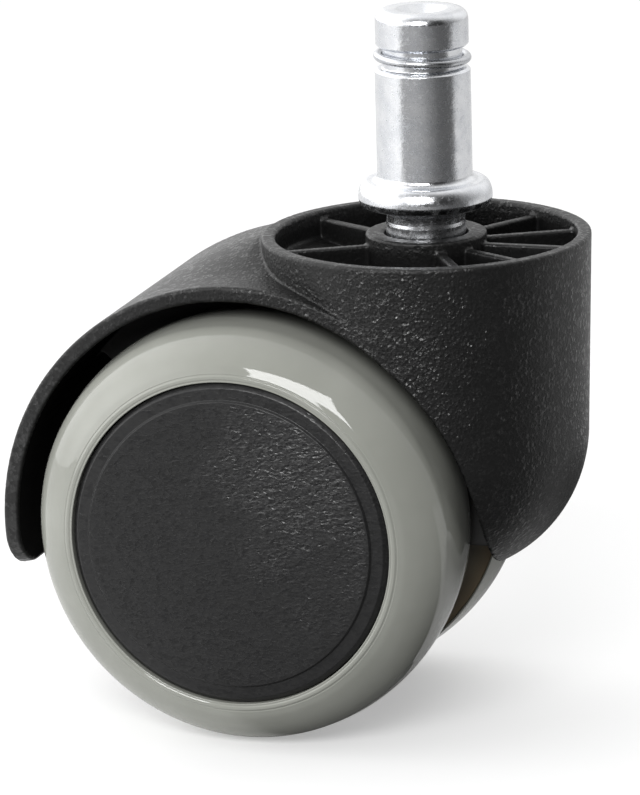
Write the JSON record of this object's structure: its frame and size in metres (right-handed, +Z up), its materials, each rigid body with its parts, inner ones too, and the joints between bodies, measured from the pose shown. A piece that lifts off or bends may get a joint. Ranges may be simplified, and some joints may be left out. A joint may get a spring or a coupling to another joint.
{
  "type": "chair caster wheel",
  "caption": "Hooded chair caster: grey-tyred wheels with black caps on one axle, under a swivelling drum-shaped hood with a grip-ring stem.",
  "frame": {"origin": "on the swivel axis, in the plane of the widest ring of the stem's collar", "axes": "+Z up along the stem and swivel axis; Y along the wheels' axle; the wheels trail towards -X"},
  "size_m": [0.0661, 0.0444, 0.0836],
  "materials": {
    "zinc_steel": "bright zinc plating, turned, slightly worn",
    "spring_steel": "bright",
    "axle_steel": "drawn bar",
    "black_nylon": "moulded, fine spark-eroded grain",
    "cap_nylon": "moulded, leather-like grain",
    "core_nylon": "moulded, plain, dark olive",
    "grey_polyurethane": "smooth and glossy"
  },
  "bodies": {
    "stem": {"kingpin_stem": "zinc_steel", "grip_ring": "spring_steel", "stem_snap_ring": "spring_steel"},
    "housing": {"hood": "black_nylon", "thrust_disc": "spring_steel", "axle": "axle_steel", "thrust_washer_right": "spring_steel", "thrust_washer_left": "spring_steel", "retaining_washer_right": "spring_steel", "retaining_washer_left": "spring_steel", "axle_clip_right": "spring_steel", "axle_clip_left": "spring_steel"},
    "wheel_right": {"wheel_core_right": "core_nylon", "tread_right": "grey_polyurethane", "hub_cap_right": "cap_nylon"},
    "wheel_left": {"wheel_core_left": "core_nylon", "tread_left": "grey_polyurethane", "hub_cap_left": "cap_nylon"}
  },
  "joints": [
    {"name": "swivel", "type": "hinge", "parent": "stem", "child": "housing", "pos_m": [0, 0, 0], "axis": [0, 0, 1], "continuous": true},
    {"name": "wheel_right_spin", "type": "hinge", "parent": "housing", "child": "wheel_right", "pos_m": [-0.0178, 0, -0.0366], "axis": [0, 1, 0], "continuous": true},
    {"name": "wheel_left_spin", "type": "hinge", "parent": "housing", "child": "wheel_left", "pos_m": [-0.0178, 0, -0.0366], "axis": [0, 1, 0], "continuous": true}
  ]
}
